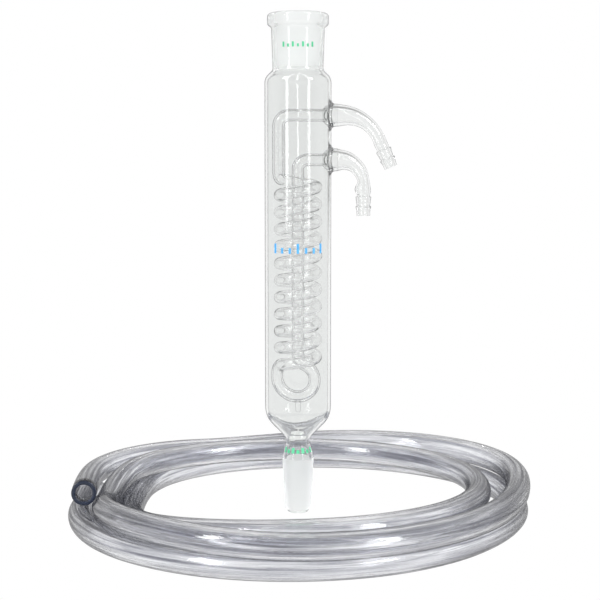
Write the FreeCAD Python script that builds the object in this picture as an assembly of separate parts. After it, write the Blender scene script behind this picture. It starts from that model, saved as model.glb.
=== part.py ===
"""Coil condenser with ground joints, bent hose tails and its water hose, in millimetres.

The origin is on the axis, at the gauge plane of the lower ground cone. +Z runs up the axis, and
both hose tails point to +X. Glass pieces that are fused together meet face to face.
"""

import math
import os

import FreeCAD
import Part

Vec = FreeCAD.Vector
UP, DOWN, RIGHT = Vec(0, 0, 1), Vec(0, 0, -1), Vec(1, 0, 0)

# Ground joints: a taper of 1 in 10 on the diameter.
TAPER = 0.05                      # radius lost per millimetre of length
CONE_GAUGE_R = 9.4                # 18.8 mm cone
CONE_LENGTH = 25.0
CONE_ABOVE = 6.1                  # ground zone above the gauge plane
TIP_LENGTH = 2.6                  # unground nose below the cone
TIP_R = 5.7
TIP_BORE_R = 4.4
NECK_R = 7.65
FLARE_TOP_Z = 15.0                # where the neck starts to widen to the cone
NECK_TOP_Z = 17.0
SOCKET_GAUGE_R = 14.6             # 29.2 mm socket
SOCKET_LENGTH = 32.0
SOCKET_TOP_Z = 276.5
SOCKET_BASE_Z = 243.8
SOCKET_BASE_R = 15.3
SOCKET_MOUTH_R = 13.1             # inside, where the socket meets the jacket
SOCKET_NECK_R = 16.1              # outside, just under the rim
SOCKET_NECK_Z = 267.8
RIM_R = 18.5
RIM_HEIGHT = 8.2
JOINT_WALL = 2.1

# Jacket.
JACKET_R = 20.2
JACKET_WALL = 1.7
JACKET_LOW_Z = 32.2               # where the straight wall would meet the funnel
JACKET_TOP_Z = 238.1              # where the straight wall would meet the shoulder
SHOULDER_RISE = 4.7
FUNNEL_LOW_Z = 19.3

# Coil tube.
TUBE_R = 3.65
TUBE_WALL = 1.1
COIL_R = 11.1                     # centreline of the helix
PITCH = 10.34
COIL_LAST_Z = 69.4                # lowest pass on the +X side
COIL_PASSES = 11                  # passes on the +X side
FEED_LEAD_R = 5.0                 # bend between the feed tube's leg and the helix
LOOP_LEAD_R = 7.7                 # bend between the helix and the loop's leg
LOOP_BOTTOM_Z = 44.3
LOOP_R = 10.2                     # the loop's +X half
LOOP_HOOK = 67.0                  # degrees that the loop rises past its +X side
FEED_BEND_R = 6.7
RETURN_BEND_R = 5.6
DROP_R = 1.9
DROP_LENGTH = 6.0

# Ring seals and hose arms.
UPPER_ARM_Z = 215.9
LOWER_ARM_Z = 189.1
SEAL_IN_X = 15.0                  # the coil tube's end in the ring seal
SEAL_R = 5.8
BOSS_R = 7.4                      # the jacket's boss at the wall
BOSS_EDGE_R = 2.2
ARM_X = 23.8                      # outer end of the boss and the ring seal
ARM_ROOT_R = 6.8
ARM_R = 3.95
ARM_BORE_R = 2.75
ARM_ROOT_BORE_R = 4.7
UPPER_ARM = {"z": UPPER_ARM_Z, "run": 3.3, "bend": 23.8, "turn": 66.5, "end": 5.6}
LOWER_ARM = {"z": LOWER_ARM_Z, "run": 1.5, "bend": 14.4, "turn": 90.0, "end": 6.5}
TAIL_LENGTH = 12.9
RIDGE_R = 4.8
NOSE_R = 4.1
NOSE_LENGTH = 2.5
RIDGE_AT = (1.5, 7.3)             # along the tail
RIDGE_FALL = 5.0                  # length of the first ridge's slope

# Fired enamel marks.
ENAMEL = 0.12
LENGTH_MARK = {"z": 133.4, "heights": (5.9, 3.4, 3.4, 5.9, 3.4, 3.4, 5.9), "width": 1.4, "step": 4.9}
SOCKET_MARK = {"z": 255.6, "heights": (3.0, 1.8, 3.0, 1.8, 3.0, 1.8, 3.0), "width": 1.25, "step": 3.0}
CONE_MARK = {"z": 10.3, "heights": (3.3, 2.1, 3.3, 2.1, 3.3, 2.1, 3.3), "width": 1.9, "step": 3.2}

# Water hose: a loose flat coil on the bench, three turns in two layers.
HOSE_R = 7.6
BENCH_Z = -33.2
COIL_HOLE = {"x": 2.8, "y": -5.5, "rx": 99.4, "ry": 103.7}
COIL_OUTSIDE = {"x": 0.5, "y": 7.6, "rx": 144.9, "ry": 155.8}
HOSE_EDGE_R = 6.6


def rounded_wire(corners):
    """A closed outline in the XZ plane from (x, z, fillet radius) corners."""
    count = len(corners)
    points = [Vec(x, 0, z) for x, z, _ in corners]
    cuts = []
    for i, (_, _, radius) in enumerate(corners):
        before = (points[i - 1] - points[i]).normalize()
        after = (points[(i + 1) % count] - points[i]).normalize()
        if radius <= 0:
            cuts.append((points[i], None, points[i]))
            continue
        half = before.getAngle(after) / 2
        reach = radius / math.tan(half)
        middle = (before + after).normalize() * (radius / math.sin(half) - radius)
        cuts.append((points[i] + before * reach, points[i] + middle, points[i] + after * reach))
    edges = []
    for i, (start, middle, end) in enumerate(cuts):
        if middle is not None:
            edges.append(Part.Arc(start, middle, end).toShape())
        following = cuts[(i + 1) % count][0]
        if end.distanceToPoint(following) > 1e-6:
            edges.append(Part.makeLine(end, following))
    return Part.Wire(edges)


def turned(corners):
    """A solid turned about Z from rounded corners."""
    return Part.Face(rounded_wire(corners)).revolve(Vec(0, 0, 0), UP, 360)


def aimed(solid, place, direction):
    """The solid, made along +Z, moved to a place and turned to point along direction."""
    moved = solid.copy()
    moved.Placement = FreeCAD.Placement(place, FreeCAD.Rotation(UP, direction))
    return moved


def circle(place, direction, radius):
    return Part.Wire(Part.makeCircle(radius, place, direction))


def ring_face(place, direction, outer, inner):
    """A flat ring whose hole is a real inner boundary."""
    disc = Part.Face(circle(place, direction, outer))
    return disc.cut(Part.Face(circle(place, direction, inner))).Faces[0]


def glass_tube(place, direction, moves, outer=TUBE_R, inner=TUBE_R - TUBE_WALL):
    """A hollow tube of straight runs ("run", length) and bends ("bend", radius, degrees, axis)."""
    pieces = []
    direction = Vec(direction).normalize()
    for move in moves:
        face = ring_face(place, direction, outer, inner)
        if move[0] == "run":
            step = direction * move[1]
            pieces.append(face.extrude(step))
            place = place + step
        else:
            _, radius, degrees, axis = move
            axis = Vec(axis).normalize()
            centre = place + axis.cross(direction) * radius
            pieces.append(face.revolve(centre, axis, degrees))
            turn = FreeCAD.Rotation(axis, degrees)
            place = centre + turn.multVec(place - centre)
            direction = turn.multVec(direction)
    whole = pieces[0]
    if len(pieces) > 1:
        whole = pieces[0].fuse(pieces[1:])
    return whole.Solids[0], place, direction


def helix_lead():
    return math.atan(PITCH / (2 * math.pi * COIL_R))


def leg_numbers(bend_r):
    """How far round the helix stops short of its leg, in radians, and the leg's distance."""
    shift = bend_r * (1 - math.sin(helix_lead()))
    return math.atan(shift / COIL_R), math.hypot(COIL_R, shift)


def helix_ends():
    """The helix's lowest and highest heights, both on the -X side."""
    low_skew, top_skew = leg_numbers(LOOP_LEAD_R)[0], leg_numbers(FEED_LEAD_R)[0]
    low = COIL_LAST_Z - PITCH * (math.pi - low_skew) / (2 * math.pi)
    top = COIL_LAST_Z + PITCH * (COIL_PASSES - 1 + (math.pi - top_skew) / (2 * math.pi))
    return low, top


def cooling_coil():
    """The helix alone, as an outer and an inner skin closed by two rings."""
    lead = helix_lead()
    low, top = helix_ends()
    path = Part.makeHelix(PITCH, top - low, COIL_R)
    start = Vec(COIL_R, 0, 0)
    tangent = Vec(0, math.cos(lead), math.sin(lead))
    skins = []
    for radius in (TUBE_R, TUBE_R - TUBE_WALL):
        swept = Part.Wire(path).makePipeShell([circle(start, tangent, radius)], False, True)
        skins.append(swept)
    finish = 2 * math.pi * (top - low) / PITCH
    end = Vec(COIL_R * math.cos(finish), COIL_R * math.sin(finish), top - low)
    leaving = Vec(-math.sin(finish) * math.cos(lead), math.cos(finish) * math.cos(lead),
                  math.sin(lead))
    faces = [f for skin in skins for f in skin.Faces]
    faces.append(ring_face(start, tangent, TUBE_R, TUBE_R - TUBE_WALL))
    faces.append(ring_face(end, leaving, TUBE_R, TUBE_R - TUBE_WALL))
    shell = Part.makeShell(faces)
    shell.sewShape()
    solid = Part.Solid(Part.Shell(shell.Faces))
    if solid.Volume < 0:
        solid.reverse()
    solid.rotate(Vec(0, 0, 0), UP, 180 + math.degrees(leg_numbers(LOOP_LEAD_R)[0]))
    solid.translate(Vec(0, 0, low))
    return solid


def lead_bend(going_in):
    """The bend between a vertical leg on the -X side and the helix, and the leg's end height."""
    bend_r = FEED_LEAD_R if going_in else LOOP_LEAD_R
    lead = helix_lead()
    low, top = helix_ends()
    skew, leg_x = leg_numbers(bend_r)
    degrees = 90 - math.degrees(lead)
    drop = bend_r * math.cos(lead)
    if going_in:
        sideways = Vec(math.sin(skew), math.cos(skew), 0)
        return ("bend", bend_r, degrees, DOWN.cross(sideways)), top + drop, leg_x
    sideways = Vec(math.sin(skew), -math.cos(skew), 0)
    return ("bend", bend_r, degrees, UP.cross(sideways)), low - drop, leg_x


def feed_tube():
    """From the upper ring seal across the head space, down the -X side and into the helix."""
    bend, leg_end, leg_x = lead_bend(True)
    across = SEAL_IN_X + leg_x - FEED_BEND_R
    down = UPPER_ARM_Z - FEED_BEND_R - leg_end
    moves = [("run", across), ("bend", FEED_BEND_R, 90, RIGHT.negative().cross(DOWN)), ("run", down), bend]
    return glass_tube(Vec(SEAL_IN_X, 0, UPPER_ARM_Z), RIGHT.negative(), moves)[0]


def bottom_loop():
    """From the helix's low end, round under the axis, and up to the centre tube."""
    bend, leg_end, leg_x = lead_bend(False)
    turn_z = LOOP_BOTTOM_Z + leg_x
    forward = Vec(0, -1, 0)
    hook = math.radians(LOOP_HOOK)
    hook_r = LOOP_R * math.cos(hook) / (1 - math.cos(hook))
    main, place, direction = glass_tube(
        Vec(-leg_x, 0, turn_z), DOWN,
        [("bend", leg_x, 90, forward), ("bend", LOOP_R, 90 + LOOP_HOOK, forward),
         ("bend", hook_r, LOOP_HOOK, forward.negative())])
    riser = glass_tube(Vec(-leg_x, 0, turn_z), UP, [("run", leg_end - turn_z), bend])[0]
    return main.fuse(riser).Solids[0], place.z


def centre_tube(low):
    length = LOWER_ARM_Z - RETURN_BEND_R - low
    return glass_tube(Vec(0, 0, low), UP, [("run", length)])[0]


def return_elbow():
    moves = [("bend", RETURN_BEND_R, 90, UP.cross(RIGHT)), ("run", SEAL_IN_X - RETURN_BEND_R)]
    return glass_tube(Vec(0, 0, LOWER_ARM_Z - RETURN_BEND_R), UP, moves)[0]


def drip_point():
    """A solid glass drop fused under the loop, cut to sit on it."""
    drop = turned([(0, LOOP_BOTTOM_Z, 0), (DROP_R, LOOP_BOTTOM_Z, 0),
                   (DROP_R * 0.8, LOOP_BOTTOM_Z - TUBE_R - DROP_LENGTH, 1.3),
                   (0, LOOP_BOTTOM_Z - TUBE_R - DROP_LENGTH, 0)])
    leg_x = leg_numbers(LOOP_LEAD_R)[1]
    near = glass_tube(Vec(-leg_x, 0, LOOP_BOTTOM_Z + leg_x), DOWN,
                      [("bend", leg_x, 90, Vec(0, -1, 0)), ("bend", LOOP_R, 90, Vec(0, -1, 0))],
                      TUBE_R, 0.01)[0]
    core = Part.makeSphere(TUBE_R * 0.6, Vec(0, 0, LOOP_BOTTOM_Z))
    return max(drop.cut([near, core]).Solids, key=lambda s: -s.CenterOfMass.z)


def outer_r(z):
    """Outside radius of the socket at a height under the rim."""
    share = (z - SOCKET_BASE_Z) / (SOCKET_NECK_Z - SOCKET_BASE_Z)
    return SOCKET_BASE_R + share * (SOCKET_NECK_R - SOCKET_BASE_R)


def socket_joint():
    rim_low = SOCKET_TOP_Z - RIM_HEIGHT
    bottom_r = SOCKET_GAUGE_R - TAPER * SOCKET_LENGTH
    return turned([
        (SOCKET_GAUGE_R, SOCKET_TOP_Z, 0.6), (RIM_R, SOCKET_TOP_Z, 2.2), (RIM_R, rim_low + 1.5, 2.0),
        (SOCKET_NECK_R, SOCKET_NECK_Z, 1.5), (SOCKET_BASE_R, SOCKET_BASE_Z, 0),
        (SOCKET_MOUTH_R, SOCKET_BASE_Z, 0), (bottom_r, SOCKET_TOP_Z - SOCKET_LENGTH, 0.8)])


def jacket_blank():
    """The jacket before the ring seals: shoulder, straight wall, funnel and neck stub."""
    inside = JACKET_R - JACKET_WALL
    stub = NECK_R - JACKET_WALL
    funnel = math.atan2(JACKET_R - NECK_R, JACKET_LOW_Z - FUNNEL_LOW_Z)
    lift = JACKET_WALL * math.tan(funnel / 2)
    shoulder = math.atan2(JACKET_R - SOCKET_BASE_R, SHOULDER_RISE)
    inner_top = JACKET_TOP_Z - JACKET_WALL * math.tan(shoulder / 2)
    mouth_z = inner_top + (inside - SOCKET_MOUTH_R) / math.tan(shoulder)
    blank = turned([
        (SOCKET_BASE_R, SOCKET_BASE_Z, 0), (SOCKET_BASE_R, JACKET_TOP_Z + SHOULDER_RISE, 2.3),
        (JACKET_R, JACKET_TOP_Z, 7.2), (JACKET_R, JACKET_LOW_Z, 15.0),
        (NECK_R, FUNNEL_LOW_Z, 5.5), (NECK_R, NECK_TOP_Z, 0),
        (stub, NECK_TOP_Z, 0), (stub, FUNNEL_LOW_Z + lift, 7.2),
        (inside, JACKET_LOW_Z + lift, 13.3), (inside, inner_top, 5.5),
        (SOCKET_MOUTH_R, mouth_z, 2.2), (SOCKET_MOUTH_R, SOCKET_BASE_Z, 0)])
    blank.rotate(Vec(0, 0, 0), UP, 180)
    return blank


def jacket_tube():
    """The jacket with a boss drawn out for each arm, and the hole for its ring seal."""
    middle = JACKET_R - JACKET_WALL / 2
    core = Part.makeCylinder(middle, SOCKET_BASE_Z)
    core.rotate(Vec(0, 0, 0), UP, 180)
    jacket = jacket_blank()
    for z in (UPPER_ARM_Z, LOWER_ARM_Z):
        cone = Part.makeCone(BOSS_R, ARM_ROOT_R, ARM_X - SEAL_IN_X)
        boss = aimed(cone, Vec(SEAL_IN_X, 0, z), RIGHT).cut(core)
        jacket = jacket.fuse(boss).Solids[0]
        boxes = [(edge, edge.BoundBox) for edge in jacket.Edges]
        saddles = [edge for edge, box in boxes if box.XMin > middle - 2 and box.XMax < JACKET_R + 0.1
                   and abs(box.Center.z - z) < BOSS_R and box.ZLength > SEAL_R]
        jacket = jacket.makeFillet(BOSS_EDGE_R, saddles)
        hole = Part.makeCylinder(SEAL_R, 2 * JACKET_R)
        jacket = jacket.cut(aimed(hole, Vec(SEAL_IN_X, 0, z), RIGHT))
    return max(jacket.Solids, key=lambda solid: solid.Volume)


def cone_joint():
    low_r = CONE_GAUGE_R - TAPER * CONE_LENGTH
    top_r = CONE_GAUGE_R + TAPER * CONE_ABOVE
    tip_z = -CONE_LENGTH - TIP_LENGTH
    bore_r = NECK_R - JACKET_WALL
    return turned([
        (NECK_R, NECK_TOP_Z, 0), (NECK_R, FLARE_TOP_Z, 6.0), (top_r, CONE_ABOVE, 1.2),
        (low_r, -CONE_LENGTH, 1.5), (TIP_R, tip_z, 0.6), (TIP_BORE_R, tip_z, 0.4),
        (low_r - JOINT_WALL, -CONE_LENGTH + 1.5, 1.0), (top_r - JOINT_WALL, CONE_ABOVE - 1.0, 1.0),
        (bore_r, FLARE_TOP_Z, 1.0), (bore_r, NECK_TOP_Z, 0)])


def flare_r(z):
    """Outside radius of the neck's flare above the ground cone."""
    top_r = CONE_GAUGE_R + TAPER * CONE_ABOVE
    return NECK_R + (FLARE_TOP_Z - z) * (top_r - NECK_R) / (FLARE_TOP_Z - CONE_ABOVE)


def ring_seal(z):
    """A collar through the jacket's hole that widens the coil tube to the arm's root."""
    length = ARM_X - SEAL_IN_X
    plug = aimed(turned([
        (TUBE_R - TUBE_WALL, 0, 0), (TUBE_R, 0, 0), (SEAL_R, 2.0, 1.0), (SEAL_R, length, 0),
        (ARM_ROOT_BORE_R, length, 0), (ARM_ROOT_BORE_R, 4.2, 1.0)]), Vec(SEAL_IN_X, 0, z), RIGHT)
    inside = Part.makeCylinder(JACKET_R - JACKET_WALL, 4 * SEAL_R, Vec(0, 0, z - 2 * SEAL_R))
    return plug.common(inside).fuse(plug.cut(inside)).Solids[0]


def arm_stations(arm):
    """Places, directions and radii of the rings that an arm is lofted through."""
    start = Vec(ARM_X, 0, arm["z"])
    bend_from = start + RIGHT * arm["run"]
    centre = bend_from + DOWN * arm["bend"]
    shares = (0.0, 0.14, 0.3, 0.5, 0.7, 1.0)
    swells = (0.82, 0.63, 0.42, 0.17, 0.05, 0.0)
    rings = [(start, RIGHT, 1.0)]
    for share, swell in zip(shares, swells):
        turn = FreeCAD.Rotation(Vec(0, 1, 0), share * arm["turn"])
        rings.append((centre + turn.multVec(UP) * arm["bend"], turn.multVec(RIGHT), swell))
    last, direction, _ = rings[-1]
    rings.append((last + direction * arm["end"], direction, 0.0))
    return rings


def arm_end(arm):
    place, direction, _ = arm_stations(arm)[-1]
    return place, direction


def hose_arm(arm):
    rings = arm_stations(arm)
    skins = []
    for root, end in ((ARM_ROOT_R, ARM_R), (ARM_ROOT_BORE_R, ARM_BORE_R)):
        wires = [circle(p, d, end + (root - end) * swell) for p, d, swell in rings]
        skins.append(Part.makeLoft(wires, True, False))
    return skins[0].cut(skins[1]).Solids[0]


def hose_tail(arm):
    """The ridged tail that a hose is pushed over, with a plain nose at its end."""
    outline = [(ARM_BORE_R, 0, 0), (ARM_R, 0, 0)]
    for along in RIDGE_AT:
        outline.append((ARM_R - 0.1, along - 0.5, 0.2))
        outline.append((RIDGE_R, along, 0.3))
        outline.append((NOSE_R, along + RIDGE_FALL, 0.4))
    outline[-1] = (NOSE_R, TAIL_LENGTH - NOSE_LENGTH, 0)
    outline += [(NOSE_R, TAIL_LENGTH, 0), (ARM_BORE_R, TAIL_LENGTH, 0)]
    return aimed(turned(outline), *arm_end(arm))


def enamel_bars(mark, radius_at):
    """A row of upright enamel bars on a round wall, centred on -Y."""
    bars = []
    count = len(mark["heights"])
    for i, height in enumerate(mark["heights"]):
        low, high = mark["z"], mark["z"] + height
        wall = [(radius_at(low), low), (radius_at(high), high)]
        corners = [Vec(r, 0, z) for r, z in wall] + [Vec(r + ENAMEL, 0, z) for r, z in wall[::-1]]
        face = Part.Face(Part.makePolygon(corners + corners[:1]))
        per_mm = 180 / math.pi / radius_at(low)
        bar = face.revolve(Vec(0, 0, 0), UP, mark["width"] * per_mm)
        middle = (i - (count - 1) / 2) * mark["step"] - mark["width"] / 2
        bar.rotate(Vec(0, 0, 0), UP, middle * per_mm - 90)
        bars.append(bar)
    return Part.makeCompound(bars)


def oval(shape, height):
    """An upright block with an oval outline, longer along Y, standing on the bench."""
    centre = Vec(shape["x"], shape["y"], BENCH_Z)
    edge = Part.Ellipse(centre, shape["ry"], shape["rx"]).toShape()
    edge.rotate(centre, UP, 90)
    return Part.Face(Part.Wire(edge)).extrude(UP * height)


def hose_coil():
    """The outer shape of the coiled hose, as one closed ring."""
    height = 4 * HOSE_R
    ring = oval(COIL_OUTSIDE, height).cut(oval(COIL_HOLE, height))
    rims = [e for e in ring.Edges if e.BoundBox.ZLength < 1e-6]
    return ring.makeFillet(HOSE_EDGE_R, rims)


def build():
    loop, loop_top = bottom_loop()
    return {
        "socket_joint": socket_joint(),
        "jacket": jacket_tube(),
        "cone_joint": cone_joint(),
        "upper_ring_seal": ring_seal(UPPER_ARM_Z),
        "lower_ring_seal": ring_seal(LOWER_ARM_Z),
        "upper_hose_arm": hose_arm(UPPER_ARM),
        "lower_hose_arm": hose_arm(LOWER_ARM),
        "upper_hose_tail": hose_tail(UPPER_ARM),
        "lower_hose_tail": hose_tail(LOWER_ARM),
        "feed_tube": feed_tube(),
        "cooling_coil": cooling_coil(),
        "bottom_loop": loop,
        "centre_tube": centre_tube(loop_top),
        "return_elbow": return_elbow(),
        "drip_point": drip_point(),
        "length_mark": enamel_bars(LENGTH_MARK, lambda z: JACKET_R),
        "socket_size_mark": enamel_bars(SOCKET_MARK, outer_r),
        "cone_size_mark": enamel_bars(CONE_MARK, flare_r),
        "hose_coil": hose_coil(),
    }


os.makedirs("parts", exist_ok=True)
for name, shape in build().items():
    shape.exportStep(f"parts/{name}.step")
    print(f"{name:18s} valid {shape.isValid()} solids {len(shape.Solids)} volume {shape.Volume:10.1f}")
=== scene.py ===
"""Looks of the coil condenser: blown glass, ground joints, fired marks and a coil of clear hose."""
import math

import bmesh
import bpy
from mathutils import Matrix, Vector
from mathutils.bvhtree import BVHTree


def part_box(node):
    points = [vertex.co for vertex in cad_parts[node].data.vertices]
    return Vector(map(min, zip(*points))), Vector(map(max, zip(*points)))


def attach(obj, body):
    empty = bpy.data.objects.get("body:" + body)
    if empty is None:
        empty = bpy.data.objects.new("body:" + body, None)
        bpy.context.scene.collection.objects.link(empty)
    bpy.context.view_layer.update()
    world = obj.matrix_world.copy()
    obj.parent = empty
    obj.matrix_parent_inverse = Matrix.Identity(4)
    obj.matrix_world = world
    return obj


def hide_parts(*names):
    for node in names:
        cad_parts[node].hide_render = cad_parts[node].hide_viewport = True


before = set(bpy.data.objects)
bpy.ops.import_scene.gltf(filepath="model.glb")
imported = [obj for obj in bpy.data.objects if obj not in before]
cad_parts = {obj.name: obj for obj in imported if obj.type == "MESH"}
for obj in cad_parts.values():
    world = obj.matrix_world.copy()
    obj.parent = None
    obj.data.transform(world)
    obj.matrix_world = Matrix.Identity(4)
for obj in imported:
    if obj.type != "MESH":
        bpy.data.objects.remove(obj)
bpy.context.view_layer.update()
scene = bpy.context.scene
MM = 0.001
BENCH_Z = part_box("hose_coil")[0].z

# Hose, in millimetres. Each entry is a place along the coil: degrees turned from -X, clockwise
# seen from above, the distance from the axis, and the layer, from 0 on the bench to 1 on top of
# the hose below. The entries did not start as numbers chosen by hand: a helper program worked them
# out, and they were then adjusted and rounded.
HOSE_D = 15.2
HOSE_BORE = 10.4
HOSE_TURNS = (
    (-11, 130, 1), (0, 130, 1), (11, 133.5, 1), (22, 136.5, 1), (31, 137, 1), (40, 135, 1),
    (52, 129, 1), (66, 124.5, 0.9), (76, 125.5, 0.92), (86, 129.5, 0.97), (100, 138.5, 1),
    (116, 148.5, 1), (129, 153, 1), (141, 152.5, 1), (159, 146.5, 1), (173, 138.5, 1), (183, 134.5, 1),
    (197, 133, 1), (212, 133.5, 0.96), (270, 138, 0.87), (302, 134.5, 1), (320, 130.5, 1),
    (333, 125.5, 0.88), (342, 120, 0.67), (349, 115.5, 0.6), (356, 113.5, 0.64), (364, 113.5, 0.74),
    (373, 114, 0.88), (385, 114, 1), (410, 112, 1), (426, 108.5, 1), (450, 106, 1), (480, 106.5, 1),
    (540, 110, 1), (556, 111.5, 1), (630, 117, 1), (660, 113, 0.72), (690, 106, 0.26), (705, 103, 0.09),
    (720, 102, 0.02), (740, 109, 0), (757, 123, 0), (775, 138, 0), (795, 147.5, 0), (815, 153, 0),
    (829, 154.5, 0), (844, 153.5, 0), (858, 150.5, 0), (872, 144.5, 0), (886, 139, 0), (900, 135, 0),
    (918, 129.5, 0), (936, 126.5, 0), (968, 127.5, 0), (1010, 130.5, 0), (1080, 133.5, 0),
    (1098, 136, 0))
STEP = 15.0                       # degrees between the spline's points

# Coil tube, in millimetres.
TUBE_R = 3.65
TUBE_BORE_R = 2.55
COIL_R = 11.1
PITCH = 10.34
COIL_LAST_Z = 69.4
COIL_PASSES = 11
LOOP_LEAD_R = 7.7
FEED_LEAD_R = 5.0

# Ground zones: the cone's outside and the socket's inside, in millimetres.
CONE_GROUND = (-25.6, 6.6)
SOCKET_GROUND = (244.3, 275.9)
FUSED_GAP = 0.07                  # faces nearer than this to another glass piece are fused to it

# Camera.
SENSOR = 36.0                     # sensor width and lens, in millimetres
LENS = 84.34
CAMERA_AT = (0.001235, -0.855, 0.1862)
CAMERA_TILT = 5.5                 # degrees downwards

# Lamps: their brightness, and their middle and half width. A slant is how far a direction leads
# sideways for each step that it leads to the front.
LAMP = 5.0                        # two tall ones
LAMP_SLANT = (0.84, 0.105)
SIDE_LAMP = 26.0                  # two small ones, above and outside them
SIDE_LAMP_SLANT = (1.22, 0.22)
SIDE_LAMP_HEIGHT = (0.55, 0.18)

# Looks.
GLASS_IOR = 1.47
HOSE_IOR = 1.5
STREAK_LENGTH = 55                # how much longer than wide the hose's streaks are
LIP = 0.12                        # share of the hose's wall that its cut ends' rounding takes
BOUNCES = 40                      # light crosses many walls in the coil
INNER = ("feed_tube", "bottom_loop", "centre_tube", "return_elbow", "drip_point")
OUTER = ("jacket", "socket_joint", "cone_joint")
MARKS = ("length_mark", "socket_size_mark", "cone_size_mark")


# ---------------------------------------------------------------- camera

def make_camera():
    data = bpy.data.cameras.new("camera")
    data.sensor_width = SENSOR
    data.lens = LENS
    camera = bpy.data.objects.new("camera", data)
    camera.location = CAMERA_AT
    camera.rotation_euler = (math.radians(90 - CAMERA_TILT), 0, 0)
    scene.collection.objects.link(camera)
    scene.camera = camera


# ---------------------------------------------------------------- tubes

def hose_at(degrees):
    """Distance from the axis and height above the bench along the coil, on a smooth cubic."""
    table = HOSE_TURNS
    last = len(table) - 1
    i = max(k for k in range(last) if table[k][0] <= degrees or k == 0)
    span = table[i + 1][0] - table[i][0]
    share = (degrees - table[i][0]) / span
    values = []
    for column in (1, 2):
        slopes = []
        for k in (i, i + 1):
            a, b = table[max(k - 1, 0)], table[min(k + 1, last)]
            slopes.append((b[column] - a[column]) / (b[0] - a[0]) * span)
        p, q = table[i][column], table[i + 1][column]
        values.append(p * (2 * share**3 - 3 * share**2 + 1) + slopes[0] * (share**3 - 2 * share**2 + share)
                      + q * (3 * share**2 - 2 * share**3) + slopes[1] * (share**3 - share**2))
    return values[0], HOSE_D * (0.5 + max(values[1], 0))


def hose_route():
    """The coil's points. They stand out by what the spline cuts inside them."""
    first, final = HOSE_TURNS[0][0], HOSE_TURNS[-1][0]
    count = round((final - first) / STEP)
    points = []
    for i in range(count + 1):
        degrees = first + (final - first) * i / count
        radius, height = hose_at(degrees)
        radius *= MM / math.cos(math.radians(STEP / 2))
        angle = math.radians(180 - degrees)
        points.append(Vector((radius * math.cos(angle), radius * math.sin(angle), BENCH_Z + height * MM)))
    return points


def smooth_line(points, steps=8):
    """Points read from a NURBS spline that has these control points."""
    curve = bpy.data.curves.new("line", "CURVE")
    curve.dimensions = "3D"
    spline = curve.splines.new("NURBS")
    spline.points.add(len(points) - 1)
    for point, place in zip(spline.points, points):
        point.co = (*place, 1)
    spline.order_u = 3
    spline.use_endpoint_u = True
    spline.resolution_u = steps
    holder = bpy.data.objects.new("line", curve)
    scene.collection.objects.link(holder)
    mesh = bpy.data.meshes.new_from_object(holder)
    line = [v.co.copy() for v in mesh.vertices]
    bpy.data.objects.remove(holder)
    bpy.data.meshes.remove(mesh)
    bpy.data.curves.remove(curve)
    return line


def directions(line):
    last = len(line) - 1
    return [(line[min(i + 1, last)] - line[max(i - 1, 0)]).normalized() for i in range(last + 1)]


def tube_mesh(name, line, ahead, outer, bore, segments=40, lips=True):
    """A hollow tube along a line. Its cut ends are rounded lips, or left open to be joined on."""
    bm = bmesh.new()
    flow = bm.verts.layers.float_vector.new("flow")
    along = 0.0
    skins = {"out": [], "in": []}
    for i, place in enumerate(line):
        if i:
            along += (place - line[i - 1]).length
        across = ahead[i].cross(Vector((0, 0, 1))).normalized()
        lift = across.cross(ahead[i]).normalized()
        for key, radius in (("out", outer), ("in", bore)):
            ring = []
            for k in range(segments):
                c, s = math.cos(2 * math.pi * k / segments), math.sin(2 * math.pi * k / segments)
                vert = bm.verts.new(place + (across * c + lift * s) * radius)
                vert[flow] = (along / outer, c, s)
                ring.append(vert)
            skins[key].append(ring)
    bands = [(a, b) for a, b in zip(skins["out"], skins["out"][1:])]
    bands += [(b, a) for a, b in zip(skins["in"], skins["in"][1:])]
    if lips:
        chamfer = (outer - bore) * LIP
        for end, sign in ((0, -1), (-1, 1)):
            rings = [skins["out"][end]]
            for key, inward in (("out", 1), ("in", -1)):
                lip = []
                for vert in skins[key][end]:
                    towards = (line[end] - vert.co).normalized() * chamfer * inward
                    new = bm.verts.new(vert.co + towards + ahead[end] * chamfer * sign)
                    new[flow] = vert[flow]
                    lip.append(new)
                rings.append(lip)
            rings.append(skins["in"][end])
            for a, b in zip(rings, rings[1:]):
                bands.append((a, b) if sign > 0 else (b, a))
    body = 2 * (len(line) - 1)
    for i, (a, b) in enumerate(bands):
        for k in range(segments):
            n = (k + 1) % segments
            bm.faces.new((a[n], a[k], b[k], b[n])).material_index = int(i >= body)
    mesh = bpy.data.meshes.new(name)
    bm.to_mesh(mesh)
    bm.free()
    for polygon in mesh.polygons:
        polygon.use_smooth = True
    return mesh


def make_hose():
    line = smooth_line(hose_route())
    mesh = tube_mesh("clear_hose", line, directions(line), HOSE_D / 2 * MM, HOSE_BORE / 2 * MM)
    hose = bpy.data.objects.new("clear_hose", mesh)
    scene.collection.objects.link(hose)
    hose.data.materials.append(hose_material())
    hose.data.materials.append(painted_shade_cut_end_material())
    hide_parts("hose_coil")
    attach(hose, "hose")


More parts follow.
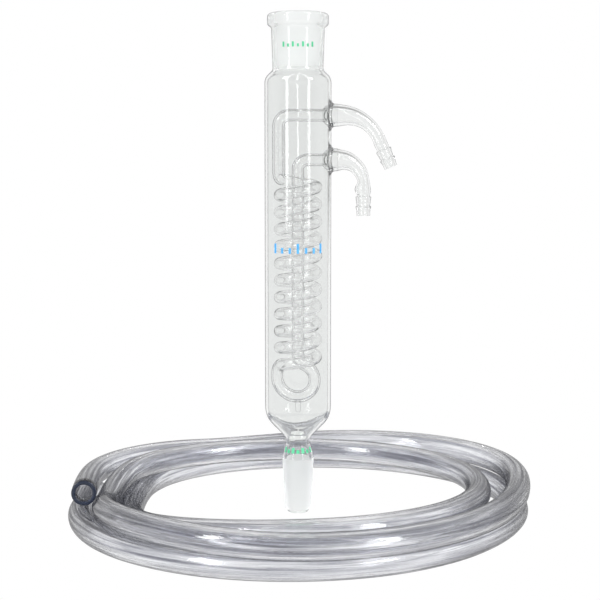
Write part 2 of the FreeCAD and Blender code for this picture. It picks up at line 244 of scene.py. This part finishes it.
def coil_mesh():
    """The helix between its two lead bends, with open ends."""
    lead = math.atan(PITCH / (2 * math.pi * COIL_R))
    low_skew, top_skew = (math.atan(r * (1 - math.sin(lead)) / COIL_R) for r in (LOOP_LEAD_R, FEED_LEAD_R))
    start = math.pi + low_skew
    sweep = 2 * math.pi * COIL_PASSES - low_skew - top_skew
    low = COIL_LAST_Z - PITCH * (math.pi - low_skew) / (2 * math.pi)
    count = COIL_PASSES * 48
    line, ahead = [], []
    for i in range(count + 1):
        turned = sweep * i / count
        c, s = math.cos(start + turned), math.sin(start + turned)
        line.append(Vector((COIL_R * c, COIL_R * s, low + PITCH * turned / (2 * math.pi))) * MM)
        ahead.append(Vector((-s * math.cos(lead), c * math.cos(lead), math.sin(lead))))
    return tube_mesh("cooling_coil_look", line, ahead, TUBE_R * MM, TUBE_BORE_R * MM, 32, False)


# ---------------------------------------------------------------- glass

def joined_faces(name, trees):
    """Faces of a piece that lie against another glass piece, where the real glass is fused."""
    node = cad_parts[name]
    others = [tree for other, tree in trees.items() if other != name]
    turn = node.matrix_world.to_3x3()
    hidden = set()
    for polygon in node.data.polygons:
        middle = node.matrix_world @ polygon.center
        corners = [node.matrix_world @ node.data.vertices[v].co for v in polygon.vertices]
        spots = [middle] + [middle.lerp(corner, 0.85) for corner in corners]
        facing = (turn @ polygon.normal).normalized()
        for tree in others:
            hits = [tree.find_nearest(spot, FUSED_GAP * MM) for spot in spots]
            if all(hit[0] is not None and hit[1].dot(facing) < -0.85 for hit in hits):
                hidden.add(polygon.index)
                break
    return hidden


def is_ground(name, place, facing):
    height = place.z / MM
    outward = facing.x * place.x + facing.y * place.y
    if name == "cone_joint":
        return CONE_GROUND[0] < height < CONE_GROUND[1] and outward > 0
    return name == "socket_joint" and SOCKET_GROUND[0] < height < SOCKET_GROUND[1] and outward < 0


def glass_look(name, hidden, clear, ground):
    """A copy of a glass piece without its fused faces."""
    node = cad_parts[name]
    bm = bmesh.new()
    bm.from_mesh(node.data)
    bm.faces.ensure_lookup_table()
    bmesh.ops.delete(bm, geom=[bm.faces[i] for i in hidden], context="FACES")
    bmesh.ops.remove_doubles(bm, verts=bm.verts, dist=0.002 * MM)
    for face in bm.faces:
        face.smooth = True
        face.material_index = int(is_ground(name, face.calc_center_median(), face.normal))
    mesh = bpy.data.meshes.new(name + "_look")
    bm.to_mesh(mesh)
    bm.free()
    mesh.set_sharp_from_angle(angle=math.radians(32))
    mesh.materials.append(clear)
    if name in ("cone_joint", "socket_joint"):
        mesh.materials.append(ground)
    return mesh


def make_glass():
    # each glass gets painted shade towards its edges, over the span and by the share given last
    clear = glass_material("clear jacket glass", (0.895, 0.905, 0.9), edge=(0.72, 0.84), edge_shade_share=0.55)
    arms = glass_material("clear arm glass", (0.93, 0.937, 0.933), edge=(0.6, 0.85), edge_shade_share=0.35)
    thin = glass_material("clear tube glass", (1.0, 1.0, 1.0), edge=(0.5, 0.75), edge_shade_share=0.6)
    coiled = glass_material("clear coiled glass", (1.0, 1.0, 1.0), edge=(0.65, 0.85), edge_shade_share=0.18, ripple=0.35)
    ground = ground_material()
    names = [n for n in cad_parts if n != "hose_coil" and n not in MARKS]
    trees = {}
    for name in names:
        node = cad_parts[name]
        corners = [node.matrix_world @ v.co for v in node.data.vertices]
        trees[name] = BVHTree.FromPolygons(corners, [p.vertices for p in node.data.polygons])
    for name in names:
        if name == "cooling_coil":
            mesh = coil_mesh()
            mesh.materials.append(coiled)
        else:
            skin = thin if name in INNER else clear if name in OUTER else arms
            mesh = glass_look(name, joined_faces(name, trees), skin, ground)
        look = bpy.data.objects.new(mesh.name, mesh)
        scene.collection.objects.link(look)
        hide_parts(name)
        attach(look, "condenser")


# ---------------------------------------------------------------- materials

def new_material(name):
    material = bpy.data.materials.new(name)
    material.use_nodes = True
    tree = material.node_tree
    tree.nodes.clear()
    output = tree.nodes.new("ShaderNodeOutputMaterial")
    shader = tree.nodes.new("ShaderNodeBsdfPrincipled")
    tree.links.new(shader.outputs[0], output.inputs[0])
    return material, tree, shader, output


def noise(tree, source, scale, detail=2.0):
    texture = tree.nodes.new("ShaderNodeTexNoise")
    texture.inputs["Scale"].default_value = scale
    texture.inputs["Detail"].default_value = detail
    tree.links.new(source, texture.inputs["Vector"])
    return texture.outputs[0]


def ramp(tree, value, low, high, out_low, out_high):
    node = tree.nodes.new("ShaderNodeMapRange")
    node.inputs["From Min"].default_value = low
    node.inputs["From Max"].default_value = high
    node.inputs["To Min"].default_value = out_low
    node.inputs["To Max"].default_value = out_high
    tree.links.new(value, node.inputs["Value"])
    return node.outputs[0]


def math_node(tree, operation, a, b=0.0):
    node = tree.nodes.new("ShaderNodeMath")
    node.operation = operation
    for socket, value in zip(node.inputs, (a, b)):
        if hasattr(value, "is_linked"):
            tree.links.new(value, socket)
        else:
            socket.default_value = value
    return node.outputs[0]


def within(tree, value, middle, half):
    """1 where a value lies within half a width of the middle, and 0 elsewhere."""
    inside = math_node(tree, "COMPARE", value, middle)
    inside.node.inputs[2].default_value = half
    return inside


def bump(tree, shader, height, strength, distance):
    node = tree.nodes.new("ShaderNodeBump")
    node.inputs["Strength"].default_value = strength
    node.inputs["Distance"].default_value = distance
    tree.links.new(height, node.inputs["Height"])
    tree.links.new(node.outputs[0], shader.inputs["Normal"])


def object_place(tree):
    return tree.nodes.new("ShaderNodeTexCoord").outputs["Object"]


def let_lamps_through(tree, shader, output, tint):
    """Light from lamps passes straight through clear pieces, so that they cast pale shadows."""
    path = tree.nodes.new("ShaderNodeLightPath")
    clear = tree.nodes.new("ShaderNodeBsdfTransparent")
    clear.inputs["Color"].default_value = (*tint, 1)
    mix = tree.nodes.new("ShaderNodeMixShader")
    tree.links.new(path.outputs["Is Shadow Ray"], mix.inputs[0])
    tree.links.new(shader.outputs[0], mix.inputs[1])
    tree.links.new(clear.outputs[0], mix.inputs[2])
    tree.links.new(mix.outputs[0], output.inputs[0])


def streak_noise(tree, around, detail):
    """Noise drawn out along the hose."""
    flow = tree.nodes.new("ShaderNodeAttribute")
    flow.attribute_name = "flow"
    stretch = tree.nodes.new("ShaderNodeMapping")
    stretch.inputs["Scale"].default_value = (around / STREAK_LENGTH, around, around)
    tree.links.new(flow.outputs["Vector"], stretch.inputs["Vector"])
    return noise(tree, stretch.outputs[0], 1.0, detail)


def seen_edge_on(tree):
    return tree.nodes.new("ShaderNodeLayerWeight").outputs["Facing"]


def paint_edge_shade(tree, shader, output, tint, edge_shade_share):
    """Painted shade on a clear piece's edges: a near-black diffuse mixed in by the given share, for light
    lost inside its wall. It lets lamps through as well.
    """
    painted_edge_shade = tree.nodes.new("ShaderNodeBsdfDiffuse")
    painted_edge_shade.inputs["Color"].default_value = (0.03, 0.03, 0.035, 1)
    edge = tree.nodes.new("ShaderNodeMixShader")
    tree.links.new(edge_shade_share, edge.inputs[0])
    tree.links.new(shader.outputs[0], edge.inputs[1])
    tree.links.new(painted_edge_shade.outputs[0], edge.inputs[2])
    let_lamps_through(tree, edge, output, tint)


def hose_material():
    material, tree, shader, output = new_material("clear soft hose")
    streaks = streak_noise(tree, 5.0, 3.0)
    shade = tree.nodes.new("ShaderNodeMix")
    shade.data_type = "RGBA"
    shade.inputs["A"].default_value = (0.38, 0.385, 0.43, 1)
    shade.inputs["B"].default_value = (0.97, 0.975, 0.99, 1)
    tree.links.new(ramp(tree, streaks, 0.34, 0.56, 0.0, 1.0), shade.inputs["Factor"])
    tree.links.new(shade.outputs["Result"], shader.inputs["Base Color"])
    # painted shade on the hose's edges, wavering with the streaks
    wavy = math_node(tree, "ADD", seen_edge_on(tree), ramp(tree, streaks, 0.3, 0.7, 0.12, -0.12))
    edge_shade_share = ramp(tree, wavy, 0.5, 0.86, 0.0, 0.6)
    shader.inputs["Transmission Weight"].default_value = 1.0
    shader.inputs["IOR"].default_value = HOSE_IOR
    tree.links.new(ramp(tree, streaks, 0.3, 0.7, 0.06, 0.0), shader.inputs["Roughness"])
    bump(tree, shader, streak_noise(tree, 2.2, 4.0), 0.4, 0.0012)
    paint_edge_shade(tree, shader, output, (0.8, 0.81, 0.86), edge_shade_share)
    return material


def painted_shade_cut_end_material():
    """The cut face, painted near-black as the shade where light is lost along the hose's wall."""
    material, tree, shader, _ = new_material("hose cut end")
    grain = ramp(tree, noise(tree, object_place(tree), 900.0), 0.3, 0.7, 0.25, 0.45)
    tree.links.new(grain, shader.inputs["Roughness"])
    shader.inputs["Base Color"].default_value = (0.012, 0.018, 0.035, 1)
    return material


def glass_material(name, tint, edge, edge_shade_share, ripple=0.04):
    """Clear glass with painted shade towards its edges, over the given span and by the given share."""
    material, tree, shader, output = new_material(name)
    shader.inputs["Base Color"].default_value = (*tint, 1)
    shader.inputs["Transmission Weight"].default_value = 1.0
    shader.inputs["Roughness"].default_value = 0.0
    shader.inputs["IOR"].default_value = GLASS_IOR
    bump(tree, shader, noise(tree, object_place(tree), 90.0), ripple, 0.001)
    # painted shade towards the glass's edges
    painted_edge_shade = ramp(tree, seen_edge_on(tree), *edge, 0.0, edge_shade_share)
    paint_edge_shade(tree, shader, output, (0.93, 0.94, 0.94), painted_edge_shade)
    return material


def ground_material():
    material, tree, shader, output = new_material("ground glass")
    shader.inputs["Base Color"].default_value = (0.8, 0.81, 0.805, 1)
    shader.inputs["Transmission Weight"].default_value = 0.9
    shader.inputs["IOR"].default_value = GLASS_IOR
    grain = noise(tree, object_place(tree), 2600.0, 3.0)
    tree.links.new(ramp(tree, grain, 0.3, 0.7, 0.5, 0.7), shader.inputs["Roughness"])
    bump(tree, shader, grain, 0.15, 0.0002)
    let_lamps_through(tree, shader, output, (0.8, 0.8, 0.8))
    return material


def enamel_material(name, colour):
    material, tree, shader, _ = new_material(name)
    mottle = ramp(tree, noise(tree, object_place(tree), 700.0), 0.35, 0.65, 0.88, 1.0)
    shade = tree.nodes.new("ShaderNodeMix")
    shade.data_type = "RGBA"
    shade.inputs["A"].default_value = tuple(0.85 * c for c in colour) + (1,)
    shade.inputs["B"].default_value = (*colour, 1)
    tree.links.new(mottle, shade.inputs["Factor"])
    tree.links.new(shade.outputs["Result"], shader.inputs["Base Color"])
    shader.inputs["Roughness"].default_value = 0.4
    return material


def dress(nodes, material):
    for name in nodes:
        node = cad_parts[name]
        node.data.materials.clear()
        node.data.materials.append(material)


# ---------------------------------------------------------------- studio

def side_wall(tree, side):
    """The room's brightness, falling off a little towards both sides."""
    return ramp(tree, side, 0.4, 0.95, 1.0, 0.8)


def make_world():
    """A white studio, plain white to the camera. What the glass sees of it is dimmer at the front,
    overhead and a little at the sides, with two tall lamps in front and two small ones outside them."""
    world = bpy.data.worlds.new("studio")
    world.use_nodes = True
    tree = world.node_tree
    back = tree.nodes["Background"]
    split = tree.nodes.new("ShaderNodeSeparateXYZ")
    tree.links.new(tree.nodes.new("ShaderNodeTexCoord").outputs["Generated"], split.inputs[0])
    x, y, z = split.outputs
    side = math_node(tree, "ABSOLUTE", x)
    ceiling = ramp(tree, z, 0.4, 0.9, 1.0, 0.3)
    near = ramp(tree, y, -0.6, 0.1, 0.4, 1.0)
    room = math_node(tree, "MINIMUM", math_node(tree, "MINIMUM", side_wall(tree, side), near), ceiling)
    ahead = math_node(tree, "MAXIMUM", math_node(tree, "MULTIPLY", y, -1.0), 0.001)
    slant = math_node(tree, "DIVIDE", side, ahead)
    tall = math_node(tree, "MULTIPLY", within(tree, slant, *LAMP_SLANT), LAMP)
    spots = math_node(tree, "MULTIPLY", within(tree, slant, *SIDE_LAMP_SLANT),
                      within(tree, z, *SIDE_LAMP_HEIGHT))
    lamps = math_node(tree, "MAXIMUM", tall, math_node(tree, "MULTIPLY", spots, SIDE_LAMP))
    eye = tree.nodes.new("ShaderNodeLightPath").outputs["Is Camera Ray"]
    level = math_node(tree, "MAXIMUM", math_node(tree, "MAXIMUM", room, lamps), eye)
    most = ramp(tree, eye, 0.0, 1.0, SIDE_LAMP, 1.0)
    tree.links.new(math_node(tree, "MINIMUM", level, most), back.inputs[1])
    back.inputs[0].default_value = (1, 1, 1, 1)
    scene.world = world


def make_floor():
    bpy.ops.mesh.primitive_plane_add(size=8, location=(0, 0, BENCH_Z))
    floor = bpy.context.object
    floor.name = "floor"
    material = bpy.data.materials.new("lit white floor")
    material.use_nodes = True
    tree = material.node_tree
    tree.nodes.clear()
    output = tree.nodes.new("ShaderNodeOutputMaterial")
    glow = tree.nodes.new("ShaderNodeEmission")
    split = tree.nodes.new("ShaderNodeSeparateXYZ")
    tree.links.new(object_place(tree), split.inputs[0])
    far = tree.nodes.new("ShaderNodeVectorMath")
    far.operation = "LENGTH"
    tree.links.new(object_place(tree), far.inputs[0])
    side = math_node(tree, "ABSOLUTE", split.outputs[0])
    share = math_node(tree, "DIVIDE", side, math_node(tree, "ADD", far.outputs["Value"], 0.15))
    level = side_wall(tree, share)
    eye = tree.nodes.new("ShaderNodeLightPath").outputs["Is Camera Ray"]
    tree.links.new(math_node(tree, "MAXIMUM", level, eye), glow.inputs["Strength"])
    tree.links.new(glow.outputs[0], output.inputs[0])
    floor.data.materials.append(material)


def settings():
    scene.view_settings.view_transform = "Standard"
    scene.cycles.max_bounces = BOUNCES
    scene.cycles.transmission_bounces = BOUNCES
    scene.cycles.transparent_max_bounces = BOUNCES
    scene.cycles.glossy_bounces = 8


make_camera()
make_hose()
make_glass()
dress(["length_mark"], enamel_material("blue enamel", (0.08, 0.4, 0.82)))
dress(["socket_size_mark", "cone_size_mark"], enamel_material("green enamel", (0.09, 0.56, 0.29)))
make_world()
make_floor()
settings()
